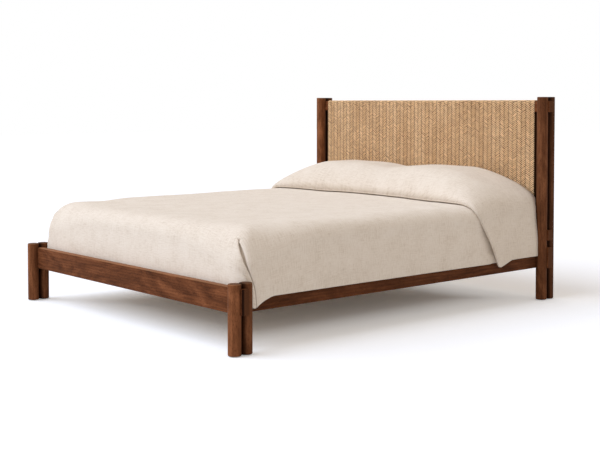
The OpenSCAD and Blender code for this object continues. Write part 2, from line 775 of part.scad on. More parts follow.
post(-1, -1, -1);  // foot_left_outer_post
post(-1, -1, 1);  // foot_left_inner_post
post(1, -1, -1);  // foot_right_outer_post
post(1, -1, 1);  // foot_right_inner_post
post(-1, 1, -1);  // head_left_front_post
post(-1, 1, 1);  // head_left_rear_post
post(1, 1, -1);  // head_right_front_post
post(1, 1, 1);  // head_right_rear_post
cross_rail(-rail_y, rail_z, rail_h);  // foot_rail
cross_rail(rail_y, rail_z, rail_h);  // head_rail
cross_rail(rail_y, low_rail_z, low_rail_h);  // headboard_lower_rail
cross_rail(rail_y, top_rail_z, top_rail_h);  // headboard_top_rail
side_rail(-1);  // side_rail_left
side_rail(1);  // side_rail_right
ledger(-1);  // ledger_left
ledger(1);  // ledger_right
rope_panel();
centre_beam();
beam_hanger(-1);  // beam_hanger_foot
beam_hanger(1);  // beam_hanger_head
centre_leg(-leg_pitch / 2);  // centre_leg_foot
centre_leg(leg_pitch / 2);  // centre_leg_head
levelling_feet();
leg_studs();
corner_bracket(-1, -1);  // bracket_foot_left
corner_bracket(1, -1);  // bracket_foot_right
corner_bracket(-1, 1);  // bracket_head_left
corner_bracket(1, 1);  // bracket_head_right
for (i = [1:SLATS]) {
    slat(i);
}
post_bolts();
bolt_inserts();
bracket_screws();
hanger_screw_set();  // hanger_screws
ledger_screws();
slat_screws();
post_glides();
mattress();
pillow(-1);  // pillow_left
pillow(1);  // pillow_right
coverlet();
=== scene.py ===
# A low wooden bed with paired round posts, a headboard of woven cord and a linen coverlet.
import math

import bpy
import numpy as np
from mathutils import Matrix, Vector


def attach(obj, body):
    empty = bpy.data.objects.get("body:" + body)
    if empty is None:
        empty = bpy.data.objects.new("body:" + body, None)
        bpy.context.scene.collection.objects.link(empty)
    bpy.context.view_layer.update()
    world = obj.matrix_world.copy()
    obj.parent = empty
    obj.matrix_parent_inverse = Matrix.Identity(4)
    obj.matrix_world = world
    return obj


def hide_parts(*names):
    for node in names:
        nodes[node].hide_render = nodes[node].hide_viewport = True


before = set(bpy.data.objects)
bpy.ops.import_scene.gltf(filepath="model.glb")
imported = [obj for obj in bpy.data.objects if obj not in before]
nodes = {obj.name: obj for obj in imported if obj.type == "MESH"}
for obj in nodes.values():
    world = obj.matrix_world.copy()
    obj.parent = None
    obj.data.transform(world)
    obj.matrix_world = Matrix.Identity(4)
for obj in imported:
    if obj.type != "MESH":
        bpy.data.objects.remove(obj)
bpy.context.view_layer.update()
MM = 0.001

# Sizes in millimetres, as in the CAD
HALF_W, HALF_L = 914.5, 1067.0              # half of the mattress
SLAT_TOP, BED_TOP = 285.0, 558.0            # its underside and its top
POST_X = 945.5                              # the posts' middle lines
RAIL_Y, RAIL_T = 1103.0, 40.0               # the cross rails' middle line and thickness
PAIR = 31.2                                 # from there to the middle of each post of a pair
SIDE_RAIL_X, RAIL_TOP = 928.5, 281.0        # the side rails' outer face and top
PILLOW_D = 385.0                            # a pillow, from front to back


# ---------------------------------------------------------------- node helpers

BLACK, WHITE = (0, 0, 0), (1, 1, 1)


class Nodes:
    """Short ways to build a material's node tree."""

    def __init__(self, name):
        self.mat = bpy.data.materials.new(name)
        self.mat.use_nodes = True
        self.tree = self.mat.node_tree
        self.bsdf = self.tree.nodes["Principled BSDF"]

    def add(self, kind, **settings):
        node = self.tree.nodes.new(kind)
        for key, value in settings.items():
            setattr(node, key, value)
        return node

    def put(self, socket, value):
        """Feed a socket from another node's output, or set it to a number, a vector or a colour."""
        if hasattr(value, "is_output"):
            self.tree.links.new(value, socket)
        else:
            socket.default_value = (*value, 1) if socket.type == "RGBA" else value

    def fill(self, node, **values):
        """Put values on a node's sockets by name, with _ for a space."""
        for name, value in values.items():
            self.put(node.inputs[name.replace("_", " ")], value)
        return node

    def coords(self, kind="Object"):
        return self.add("ShaderNodeTexCoord").outputs[kind]

    def split(self, vector):
        """A vector's parts, by the names X, Y and Z."""
        return self.fill(self.add("ShaderNodeSeparateXYZ"), Vector=vector).outputs

    def mapped(self, vector, scale=(1, 1, 1), location=(0, 0, 0)):
        node = self.fill(self.add("ShaderNodeMapping"), Vector=vector, Scale=scale, Location=location)
        return node.outputs["Vector"]

    def noise(self, vector, scale, detail, rough, distort=0.0):
        node = self.fill(self.add("ShaderNodeTexNoise"), Vector=vector, Scale=scale, Detail=detail,
                         Roughness=rough, Distortion=distort)
        return node.outputs["Fac"]

    def wave(self, vector, scale, distort, detail, detail_scale, axis, kind="BANDS"):
        node = self.add("ShaderNodeTexWave", wave_type=kind, **{kind.lower() + "_direction": axis})
        self.fill(node, Vector=vector, Scale=scale, Distortion=distort, Detail=detail,
                  Detail_Scale=detail_scale)
        return node.outputs["Fac"]

    def math(self, op, a, b=0.0):
        node = self.add("ShaderNodeMath", operation=op)
        self.put(node.inputs[0], a)
        self.put(node.inputs[1], b)
        return node.outputs[0]

    def size(self, value):
        return self.math("ABSOLUTE", value)

    def scaled(self, value, factor, plus):
        return self.math("ADD", self.math("MULTIPLY", value, factor), plus)

    def weighted(self, *parts):
        """The sum of values, each given with its weight."""
        terms = [self.math("MULTIPLY", value, weight) for value, weight in parts]
        total = terms[0]
        for term in terms[1:]:
            total = self.math("ADD", total, term)
        return total

    def ramp(self, fac, *stops):
        """A colour for each value. A stop is a place from 0 to 1 and its colour."""
        node = self.fill(self.add("ShaderNodeValToRGB"), Fac=fac)
        elements = node.color_ramp.elements
        while len(elements) < len(stops):
            elements.new(0.5)
        for element, (place, color) in zip(elements, stops):
            element.position = place
            element.color = (*color, 1)
        return node.outputs["Color"]

    def mix(self, fac, a, b, blend="MIX"):
        node = self.fill(self.add("ShaderNodeMix", data_type="RGBA", blend_type=blend), Factor=fac, A=a, B=b)
        return node.outputs["Result"]

    def tinted(self, color, tint):
        return self.mix(1.0, color, tint, "MULTIPLY")

    def bump(self, height, strength, distance):
        node = self.fill(self.add("ShaderNodeBump"), Height=height, Strength=strength, Distance=distance)
        return node.outputs["Normal"]

    def finish(self, color, rough, **others):
        """Fill in the surface's own values, and give the material."""
        self.fill(self.bsdf, Base_Color=color, Roughness=rough, **others)
        return self.mat


def seen_directly(tree):
    """1 for rays from the camera, straight, mirrored or through glass, and 0 for those that light the bed."""
    ray = tree.nodes.new("ShaderNodeLightPath").outputs
    seen = ray["Is Camera Ray"]
    for kind in ("Is Glossy Ray", "Is Transmission Ray"):
        either = tree.nodes.new("ShaderNodeMath")
        either.operation = "MAXIMUM"
        tree.links.new(seen, either.inputs[0])
        tree.links.new(ray[kind], either.inputs[1])
        seen = either.outputs[0]
    return seen


def srgb(*rgb):
    """A colour given as 8-bit sRGB, in linear light."""
    return tuple(((c / 255 + 0.055) / 1.055) ** 2.4 if c > 10 else c / 255 / 12.92 for c in rgb)


def stretched(grain, scale):
    """A texture scale that differs along the grain."""
    return [scale if axis == grain else 1.0 for axis in "XYZ"]


# ---------------------------------------------------------------- materials

HIGHLIGHT_START, HIGHLIGHT_SPAN = 0.005, 0.00625        # where the painted highlight starts below a top edge, and its ramp's length
SHADE_SPAN = 0.025                          # the length of the painted shade's ramps at seams and shaded ends
RAIL_SHOWN = 0.905                          # half of the foot rail's length between its posts


def wood(name, grain, heart, seed, tone, figured=0.72, streaked=0.24, top=None, joint=None, shaded_end=None):
    """Stained walnut. grain is the axis along the piece and heart the point that its rings centre on.

    tone multiplies the stain, and figured and streaked weigh its broad figure and its fine streaks. top is
    the height of a top edge that gets a painted highlight. joint and shaded_end are distances from the middle
    of
    the bed, along Y: of the painted shade in the seam between two posts, and of the painted shade on the
    front edge of a rail's end."""
    m = Nodes(name)

    def stain(*rgb):
        return tuple(c * t for c, t in zip(srgb(*rgb), tone))

    # slow figure along the board, fine streaks and short dark pores
    here = m.mapped(m.coords(), location=[-c for c in heart])
    offset = (seed * 1.7, seed * 2.3, seed * 0.9)
    long = m.mapped(here, stretched(grain, 0.09), offset)
    figure = m.noise(m.mapped(here, stretched(grain, 0.28), offset), 9, 5, 0.62, 2.2)
    streak = m.noise(long, 95, 5, 0.62, 0.4)
    pores = m.noise(m.mapped(long, stretched(grain, 2.2)), 420, 2, 0.5)
    rings = m.wave(m.mapped(here, stretched(grain, 0.10)), 22, 5.5, 3, 1.6, grain, "RINGS")
    mixed = m.weighted((figure, figured), (rings, 0.07), (streak, streaked))
    color = m.ramp(mixed, (0.24, stain(54, 28, 15)), (0.50, stain(110, 65, 40)), (0.80, stain(162, 102, 67)))
    pore_mask = m.ramp(pores, (0.34, BLACK), (0.46, WHITE))
    color = m.mix(0.4, color, m.tinted(color, pore_mask))

    spot = m.split(m.coords())
    # painted highlight: a top edge is made lighter, as where light catches it
    if top is not None:
        near_top = m.math("MULTIPLY", m.math("SUBTRACT", spot["Z"], top - HIGHLIGHT_START), 1 / HIGHLIGHT_SPAN)
        edge_highlight = m.ramp(near_top, (0.30, BLACK), (0.60, WHITE))
        if grain == "X":                    # a rail's painted highlight lies only between its posts
            edge_highlight = m.math("MULTIPLY", edge_highlight, m.math("LESS_THAN", m.size(spot["X"]), RAIL_SHOWN))
        color = m.mix(m.math("MULTIPLY", edge_highlight, 0.32), color, stain(206, 150, 108))

    # end grain, on faces across the grain
    facing = m.split(m.add("ShaderNodeNewGeometry").outputs["True Normal"])
    across = m.math("GREATER_THAN", m.size(facing[grain]), 0.75)
    end_rings = m.wave(here, 46, 1.2, 3, 1.5, grain, "RINGS")
    speckled = m.weighted((end_rings, 0.12), (m.noise(here, 1100, 3, 0.65), 0.88))
    color = m.mix(across, color, m.ramp(speckled, (0.30, stain(62, 35, 20)), (0.72, stain(112, 71, 46))))
    # painted shade on the front edge of a rail's end face, where it meets its post
    if shaded_end is not None:
        inward = m.math("MULTIPLY", m.math("SUBTRACT", shaded_end, m.size(spot["Y"])), 1 / SHADE_SPAN)
        shade = m.ramp(inward, (0.36, (0.15, 0.10, 0.07)), (0.66, WHITE))
        color = m.mix(across, color, m.tinted(color, shade))

    # painted shade in the seam where the two posts of a pair meet
    if joint is not None:
        apart = m.size(m.math("SUBTRACT", m.size(spot["Y"]), joint))
        seam = m.ramp(m.math("MULTIPLY", apart, 1 / SHADE_SPAN),
                      (0.0, (0.15, 0.11, 0.08)), (0.30, (0.29, 0.25, 0.22)), (0.76, WHITE))
        color = m.tinted(color, seam)
    relief = m.weighted((pores, 0.6), (streak, 0.5))
    return m.finish(color, m.scaled(streak, 0.16, 0.44), Normal=m.bump(relief, 0.35, 0.0006),
                    Specular_IOR_Level=0.03)


def linen():
    """Washed linen: a plain weave with slubs, thick and thin threads both ways."""
    m = Nodes("linen_coverlet")
    uv = m.coords("UV")
    broad = m.noise(uv, 9, 4, 0.55)
    weft = m.noise(m.mapped(uv, (14, 420, 1)), 1.0, 4, 0.65)
    warp = m.noise(m.mapped(uv, (420, 14, 1), (3, 7, 0)), 1.0, 4, 0.65)
    slub = m.noise(m.mapped(uv, (40, 160, 1), (11, 2, 0)), 1.0, 3, 0.6)
    threads = m.math("MULTIPLY", m.math("ADD", weft, warp), 0.5)
    color = m.ramp(m.weighted((threads, 0.62), (slub, 0.22), (broad, 0.16)),
                   (0.36, srgb(205, 190, 172)), (0.50, srgb(233, 222, 209)), (0.66, srgb(243, 235, 225)))
    # painted shade: the vertices' shade colour darkens the coverlet's part over the pillows
    color = m.tinted(color, m.add("ShaderNodeAttribute", attribute_name="shade").outputs["Color"])
    weave = m.math("MULTIPLY", m.wave(uv, 330, 0.6, 1, 2, "X"), m.wave(uv, 330, 0.6, 1, 2, "Y"))
    relief = m.weighted((weave, 0.5), (threads, 1.0))
    return m.finish(color, 0.93, Normal=m.bump(relief, 0.45, 0.0009), Sheen_Weight=0.12, Sheen_Roughness=0.5)


def cord_material():
    """Natural cord: each stitch has its own shade, with fine strands along it."""
    m = Nodes("cord_weave")
    strands = m.noise(m.mapped(m.coords("UV"), (3, 26, 1)), 1.0, 3, 0.6)
    broad = m.noise(m.mapped(m.coords(), (1.0, 1.0, 0.35)), 7, 3, 0.6)
    color = m.ramp(m.weighted((strands, 0.6), (broad, 0.4)),
                   (0.30, srgb(193, 153, 109)), (0.52, srgb(219, 182, 139)), (0.75, srgb(240, 211, 173)))
    color = m.tinted(color, m.add("ShaderNodeVertexColor", layer_name="shade").outputs["Color"])
    return m.finish(color, 0.78, Normal=m.bump(strands, 0.5, 0.0008), Sheen_Weight=0.05)


def painted_shade_cord():
    """The ground that shows between the stitches, coloured dark as painted shade."""
    m = Nodes("cord_base")
    speck = m.noise(m.coords(), 160, 3, 0.6)
    color = m.ramp(speck, (0.3, srgb(66, 38, 16)), (0.7, srgb(104, 66, 32)))
    return m.finish(color, 0.9, Normal=m.bump(speck, 0.4, 0.001))


def pine(name, seed, grain):
    m = Nodes(name)
    here = m.mapped(m.coords(), stretched(grain, 0.05), (seed * 1.3, seed * 0.7, seed * 2.1))
    figure = m.wave(here, 14, 6, 3, 1.2, "Y" if grain == "X" else "X")
    fine = m.noise(here, 120, 4, 0.6)
    color = m.ramp(m.weighted((figure, 0.5), (fine, 0.5)),
                   (0.25, srgb(190, 150, 104)), (0.55, srgb(222, 188, 142)), (0.85, srgb(238, 212, 172)))
    return m.finish(color, m.scaled(fine, 0.2, 0.5), Normal=m.bump(fine, 0.25, 0.0005))


def fitting(name, base, metal, rough):
    """Coated or plated steel, or moulded nylon."""
    m = Nodes(name)
    speck = m.noise(m.coords(), 300, 3, 0.6)
    color = m.ramp(speck, (0.3, tuple(c * 0.85 for c in base)), (0.7, base))
    return m.finish(color, m.scaled(speck, 0.15, rough), Normal=m.bump(speck, 0.15, 0.0003), Metallic=metal)


def ticking():
    m = Nodes("ticking")
    here = m.coords()
    speck = m.noise(here, 260, 3, 0.6)
    weave = m.math("MULTIPLY", m.wave(here, 260, 0.4, 1, 2, "X"), m.wave(here, 260, 0.4, 1, 2, "Y"))
    color = m.ramp(speck, (0.3, srgb(226, 220, 208)), (0.7, srgb(240, 236, 228)))
    relief = m.math("ADD", speck, weave)
    return m.finish(color, 0.9, Normal=m.bump(relief, 0.3, 0.0006), Sheen_Weight=0.1)


# ---------------------------------------------------------------- mesh helpers

def mesh_object(name, verts, faces, uv=None):
    """verts in millimetres. uv is one (u, v) for each vertex."""
    me = bpy.data.meshes.new(name)
    me.from_pydata((np.asarray(verts) * MM).tolist(), [], [tuple(int(i) for i in f) for f in faces])
    me.update()
    if uv is not None:
        layer = me.uv_layers.new(name="UVMap")
        loops = np.zeros(len(me.loops), dtype=np.int64)
        me.loops.foreach_get("vertex_index", loops)
        layer.data.foreach_set("uv", np.asarray(uv, dtype=np.float32)[loops].ravel())
    me.polygons.foreach_set("use_smooth", [True] * len(me.polygons))
    obj = bpy.data.objects.new(name, me)
    bpy.context.collection.objects.link(obj)
    return obj


def shade_vertices(obj, colors):
    """Give each vertex the colour that the material is multiplied by."""
    layer = obj.data.color_attributes.new(name="shade", type="FLOAT_COLOR", domain="POINT")
    layer.data.foreach_set("color", colors.astype(np.float32).ravel())


def soft_piece(obj, node, material):
    """Let a piece stand for a soft solid of the bedding."""
    obj.data.materials.append(material)
    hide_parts(node)
    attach(obj, "bedding")


def grid_faces(rows, cols):
    corners = (0, 1, cols + 1, cols)
    return [tuple(r * cols + c + k for k in corners) for r in range(rows - 1) for c in range(cols - 1)]


def smooth(t):
    t = np.clip(t, 0, 1)
    return t * t * (3 - 2 * t)


def waves(x, y, seed, size, count=7):
    """A smooth field of about -1 to 1, made from a few sine waves of about that size."""
    rng = np.random.default_rng(seed)
    total = np.zeros(np.broadcast(x, y).shape)
    for _ in range(count):
        angle, phase = rng.uniform(0, 2 * np.pi, 2)
        k = 2 * np.pi / (size * rng.uniform(0.7, 1.6))
        total += np.sin(k * (x * np.cos(angle) + y * np.sin(angle)) + phase)
    return total / count ** 0.5 / 1.3


# ---------------------------------------------------------------- coverlet

OUT_X, OUT_Y = HALF_W + 5, HALF_L + 5       # the cloth's outer face at the mattress edge
RAIL_OUT_X = SIDE_RAIL_X + 3.5              # and where it hangs outside the side rails
TOP = BED_TOP + 3.3                         # its outer face on the mattress
HEM = 243.0                                 # the hem's height along the sides
CORNER_HEM, FOOT_HEM = 202.0, 289.0         # at the foot corners and over the foot rail
CORNER_R = 63.0                             # the radius of its foot corners, seen from above
SOFT = 150.0                                # the width of the soft edge
ROLL, CORNER_ROLL = 75.0, 112.0             # how far it falls, and how much more at a foot corner
FAR = 1e5                                   # a place along the outline far from the corners
PILLOW_LIFT = 185.0                         # how far the pillows raise the cloth at their highest
TUCK_Y = HALF_L - 1.09 * PILLOW_D           # the tuck in front of the pillows, in the middle of the bed
TUCK_FORWARD = {1: 130.0, -1: 62.0}         # how far the tuck comes forward on the right and on the left
TUCK_SLOPE, TUCK_SWAY = 0.62, 28.0          # how it runs back as it falls, and comes forward at the hem
HEAD_Y, HEAD_SIDE_Y = 1063.0, 1036.8        # where the cloth ends at the head, on top and along the sides
HEAD_STEP = (896.0, 915.0)                  # half-widths between which its end steps from one to the other
FLAP_REACH, FLAP_STAND = 15.0, 20.0         # how far the flap's front edge reaches forward, and stands off
FLAP_FADE = 110.0                           # over this length behind its front edge it comes to lie closer
FLAP_DIP, CORNER_DIP = 29.0, 42.0           # how far the hem dips at the flap's front and by the foot corners
DRAWN_IN = 11.5                             # how far the body's part is drawn in behind the flap
SAG = 10.0                                  # how far the top sags towards the foot


def lift_across(ax):
    """The pillows' height, from the middle of the bed to its side, as a share of the greatest."""
    dip = 0.12 * np.exp(-(ax / 130) ** 2)
    shoulder = 0.74 * np.clip((ax / HALF_W - 0.54) / 0.46, 0, None) ** 1.7
    return (1 - dip) * (1 - shoulder)


def tuck_at(ax, side):
    return TUCK_Y - TUCK_FORWARD[side] * (ax / HALF_W) ** 1.3


def corner_share(a):
    """1 at a foot corner, fading along the edges. a is the way along the outline from the corner's middle."""
    return 1 / (1 + (np.abs(a) / 235) ** 2.7)


def roll_height(a):
    return ROLL + CORNER_ROLL * corner_share(a)


def roll_fall(inset, a):
    """How far the soft edge has fallen at a distance in from the outline."""
    near = corner_share(a)
    t = np.clip(1 - inset / (SOFT + 7 * near), 0, 1)
    return roll_height(a) * (1 - (1 - t ** (3.6 - 1.0 * near)) ** (1 / (2.0 - 0.1 * near)))


def on_outline(X, Y, r, a):
    """Points of a rounded rectangle's foot corner, and the way out from it there.

    a is the distance along the outline from the corner's middle, + up the side and - along the foot."""
    arc = r * math.pi / 4
    on_side, on_foot = a > arc, a < -arc
    phi = math.pi / 4 - np.clip(a / max(r, 1e-6), -math.pi / 4, math.pi / 4)
    x = np.where(on_side, X, np.where(on_foot, X - r + (a + arc), X - r + r * np.cos(phi)))
    y = np.where(on_side, -Y + r + (a - arc), np.where(on_foot, -Y, -Y + r - r * np.sin(phi)))
    nx = np.where(on_side, 1.0, np.where(on_foot, 0.0, np.cos(phi)))
    ny = np.where(on_side, 0.0, np.where(on_foot, -1.0, -np.sin(phi)))
    return x, y, nx, ny


# Where the corner pleat runs: height, place round the corner from its middle, width of the opening, depth
PLEAT = np.array([
    [620, -22, 0, 2], [514, -24, 0, 3], [505, -27, 3, 9], [497, -30, 8, 16], [485, -29.7, 17.5, 24],
    [471, -25.2, 21, 30], [453, -18.2, 23, 33], [436, -11.2, 24, 33], [420, -3.2, 22, 31],
    [404, 2.8, 19, 28], [390, 9.8, 15.5, 24], [375, 17.3, 11.5, 21], [362, 23.8, 9.5, 19],
    [347, 31.3, 8.5, 18], [328, 36.8, 8, 17], [313, 42.3, 7.5, 16], [298, 46.8, 7, 15],
    [277, 50.8, 7, 14], [252, 53.8, 7, 14], [226, 56.3, 7, 13], [209, 57.3, 7, 12], [180, 57.5, 7, 12]])[::-1]

# The pleat's cross section, from the side panel to the foot: share of the opening's width and distance from
# its foot edge, then share of the depth and depth, then how much of the side panel's proud roll
FOLD = np.array([
    [1, 47, 0, 0, 0], [1, 37, 0, 0, .35], [1, 28, 0, 0, .75], [1, 21, 0, 0, 1], [1, 15, 0, 0, 1],
    [1, 10, 0, 0, .85], [1, 6, 0, 0, .5], [1, 3, 0, .3, .1], [1, .8, .03, .5, 0], [1, 1.2, .1, .7, 0],
    [1, 3.4, .2, .8, 0], [1, 6.5, .42, 0, 0], [1, 7.5, .74, 0, 0], [1, 4, .93, 0, 0], [.6, 0, 1, 0, 0],
    [.2, -3, 1, 0, 0], [0, -9, 1, -.3, 0], [0, -12, .7, 1.9, 0], [0, -13, .3, 4.6, 0],
    [0, -11.5, .05, 6.2, 0], [0, -8, 0, 6.0, 0], [0, -4, 0, 5.3, 0], [0, -.6, 0, 4.4, 0],
    [0, .9, 0, 3.0, 0], [0, 1.2, 0, 1.6, 0], [0, .5, 0, .5, 0], [0, -1.6, 0, 0, 0], [0, -5, 0, 0, 0],
    [0, -10, 0, 0, 0], [0, -17, 0, 0, 0], [0, -25, 0, 0, 0], [0, -35, 0, 0, 0], [0, -47, 0, 0, 0]])
OPEN_FOLD = FOLD.copy()                     # where it gapes, the side's cloth slopes in under the foot's edge
OPEN_FOLD[8:16] = [
    [1, .6, .04, .5, 0], [1, -.6, .13, .6, 0], [1, -1.6, .28, .6, 0], [.96, -2.2, .48, .4, 0],
    [.88, -2.4, .68, .2, 0], [.72, -2, .85, 0, 0], [.46, -1, .95, 0, 0], [.18, -3, 1, 0, 0]]
PLEAT_TOP = 514.0                           # the height where the pleat begins to open
RAIL_FADE = 27.0                            # from this far above a side rail down, the pleat lies flatter
RAIL_CLEAR = 7.2                            # and hangs out this far to clear the rail
PROUD = 4.2                                 # how far the side panel's roll stands out beside the opening
FOLD_FLAT = np.linspace(56, -47, len(FOLD))     # the columns' places above the pleat
CAVITY = 17                                 # the column where the side's cloth turns into the foot's
FOLDED_COLS = 28                            # the columns of the side panel and the folded layers
# The hem's height in the pleat's columns, which dips to the folded corner and rises over the foot rail
FOLD_HEM = np.interp(np.arange(len(FOLD)), [6, 8, 22, 28, 29, 30, 31, 32],
                     [260, 202, 200, 199, 202, 235, 300, 289])

# The roll where the pillows' part folds over the body's part: (along, out), the body's side last
TUCK_ROLL = np.array([
    (-0.98, 1.00), (-1.0, 0.82), (-0.86, 0.62), (-0.45, 0.52), (0.1, 0.47), (0.9, 0.44), (1.9, 0.40),
    (2.05, 0.20), (1.9, 0.03), (0.9, 0.0), (0.2, 0.0), (-0.6, 0.0), (-1.6, 0.0), (-2.8, 0.0)])
TUCK_DEPTH = 20.0                           # how far the roll's back reaches under the flap, for each 1 along

# The cloth's columns run from the head to the middle of the foot, in five parts
OVER_PILLOWS, TUCK, BODY, CORNER, FOOT = range(5)
PILLOW_COLS, BODY_COLS, FOOT_COLS = 44, 78, 51
FLAP_COLS = PILLOW_COLS + 8                 # the pillows' part with the front of its roll
ZONE = np.repeat(range(5), [PILLOW_COLS, len(TUCK_ROLL), BODY_COLS, len(FOLD), FOOT_COLS])
BODY_FROM = PILLOW_COLS + len(TUCK_ROLL)
CORNER_FROM = BODY_FROM + BODY_COLS

# Its rings run from the spine to the rim, by distances in from the outline, then down to the hem, by shares
INSETS = np.concatenate([np.linspace(OUT_X - 8, 300, 18), np.linspace(270, 160, 5),
                         SOFT * (1 - np.sin(np.linspace(0.06, 1, 30) * np.pi / 2))])
SHARES = np.linspace(0, 1, 41)[1:]


def pleat_section(z):
    """The pleat's columns at one height: places round the corner, and depths in from the outline."""
    place, width, deep = (np.interp(z, PLEAT[:, 0], PLEAT[:, k]) for k in (1, 2, 3))
    beside = smooth((RAIL_TOP + RAIL_FADE - z) / RAIL_FADE)
    place -= 5.7 * beside
    deep += (7.0 - deep) * beside
    opened = smooth((PLEAT_TOP - z) / 16)
    gape = smooth((width - 9) / 9)
    fold = FOLD * (1 - gape) + OPEN_FOLD * gape
    u = FOLD_FLAT * (1 - opened) + (fold[:, 0] * width + fold[:, 1]) * opened
    layers = fold[:, 3] * (1 - 0.35 * beside)
    proud = PROUD * fold[:, 4] * min(1.0, (z - 190) / 130)
    depth = (fold[:, 2] * deep + layers - proud) * opened
    depth -= RAIL_CLEAR * beside * smooth((FOLD_FLAT[0] - FOLD_FLAT) / 30) * smooth((u + 40.5) / 20)
    return place + u, depth


def pillow_lift(y, y_front, ax, side, reach, stand):
    """How far the pillows raise the cloth that lies over them."""
    rise_over = SOFT + 0.4 * (TUCK_Y - tuck_at(ax, side)) + reach
    ahead = np.clip(1 - (y - y_front) / rise_over, 0, 1)
    back = 1 - 0.2 * np.clip((y - HALF_L + 100) / 100, 0, None) ** 2
    rise = PILLOW_LIFT * lift_across(ax) - stand
    return np.maximum(rise * (1 - ahead ** 1.7) ** 0.58 * back, 0)


def hem_height(y, out, side):
    """The hem's height in each column. out is a column's distance off the body, as a share of the flap's."""
    y_flap = tuck_at(HALF_W, side) + TUCK_SLOPE * (BED_TOP - HEM) - TUCK_SWAY
    flap = 10 - FLAP_DIP * np.clip(1 - np.abs(y - y_flap) / 112, 0, None)
    dip = CORNER_DIP * np.clip(1 - np.clip(y + HALF_L - 62, 0, None) / 105, 0, None) ** 1.3
    hem = HEM + 0.5 - np.where(ZONE >= BODY, dip, 0)
    hem = np.where(ZONE == OVER_PILLOWS, HEM + 0.5 + flap, hem)
    rolled = np.clip((out - 0.45) / 0.5, 0, 1)
    hem = np.where(ZONE == TUCK, HEM + 0.5 + 3 * (out < 0.5) + flap * rolled, hem)
    pleat = ZONE == CORNER
    folded = np.arange(len(FOLD)) < FOLDED_COLS
    hem[pleat] = np.where(folded, np.minimum(hem[pleat], FOLD_HEM), FOLD_HEM)
    hem[ZONE == FOOT] = FOOT_HEM
    return hem


def soften(P, side):
    """Slow unevenness on top, ripples where the cloth hangs and slack waves across the foot."""
    x, y, z = P[..., 0] * side, P[..., 1].copy(), P[..., 2].copy()
    n_top = len(INSETS)
    field = waves(x, y, 5, 520) * 1.9 + waves(x, y, 8, 210) * 0.7
    on_top = np.arange(len(P))[:, None] < n_top
    P[..., 2] += field * on_top * smooth((OUT_X - P[..., 0]) / 120) * smooth((OUT_Y + y) / 120)
    hang = np.zeros((len(P), 1))
    hang[n_top:, 0] = np.sin(SHARES * np.pi * 0.62)
    ripple = waves(y, z * 0.35 + side * 400, 11, 420) * 2.0 + waves(y, z * 0.3 + side * 90, 13, 170) * 0.7
    plain = np.isin(ZONE, (OVER_PILLOWS, BODY)) * smooth((y + 1000) / 90) * smooth((HEAD_SIDE_Y - y) / 60)
    P[..., 0] += np.maximum(ripple, -1.2) * hang * plain
    slack = np.clip(waves(x, z * 0.35, 17, 380) * 1.7, -1.0, 2.2)
    P[..., 1] -= slack * hang * (ZONE == FOOT) * smooth((820 - P[..., 0]) / 90)


def ring_plan(j):
    """A ring's place: distance in, share of the way down, outline, and heights at the side and the corner."""
    if j < len(INSETS):
        inset = INSETS[j]
        X, Y = OUT_X - inset, OUT_Y - inset
        r = min(max(CORNER_R - 0.35 * inset, 0.0), X)
        return inset, 0.0, X, Y, r, TOP - roll_fall(inset, FAR), TOP - roll_fall(inset, 0.0)
    share = SHARES[j - len(INSETS)]
    out = smooth(share / 0.72)
    X, Y = OUT_X + (RAIL_OUT_X - OUT_X) * out, OUT_Y + 2 * out
    z_side = (TOP - ROLL) - share * (TOP - ROLL - HEM)
    z_corner = (TOP - ROLL - CORNER_ROLL) * (1 - share) + CORNER_HEM * share
    return 0.0, share, X, Y, CORNER_R, z_side, z_corner


def beyond_tuck(X, Y, r, z_corner, y_start):
    """The columns of the body, the corner and the foot: their way along the outline, x and y."""
    arc = r * math.pi / 4
    near, depth = pleat_section(z_corner)
    a_start = y_start + Y - r + arc
    a_end = -(arc + max(X - r, 0))
    if a_end > near[-1] - 5:                # a small ring has less room for the corner's columns
        near = near * (a_end / (near[-1] - 30))
    body = np.linspace(0, 1, BODY_COLS + 2)[1:-1]
    foot = np.linspace(0, 1, FOOT_COLS + 1)[1:]
    a = np.concatenate([a_start + (near[0] - a_start) * body, near, near[-1] + (a_end - near[-1]) * foot])
    push = np.zeros(len(a))
    push[BODY_COLS:BODY_COLS + len(FOLD)] = depth
    x, y, nx, ny = on_outline(X, Y, r, a)
    return a, np.maximum(x, 0) - push * nx, y - push * ny


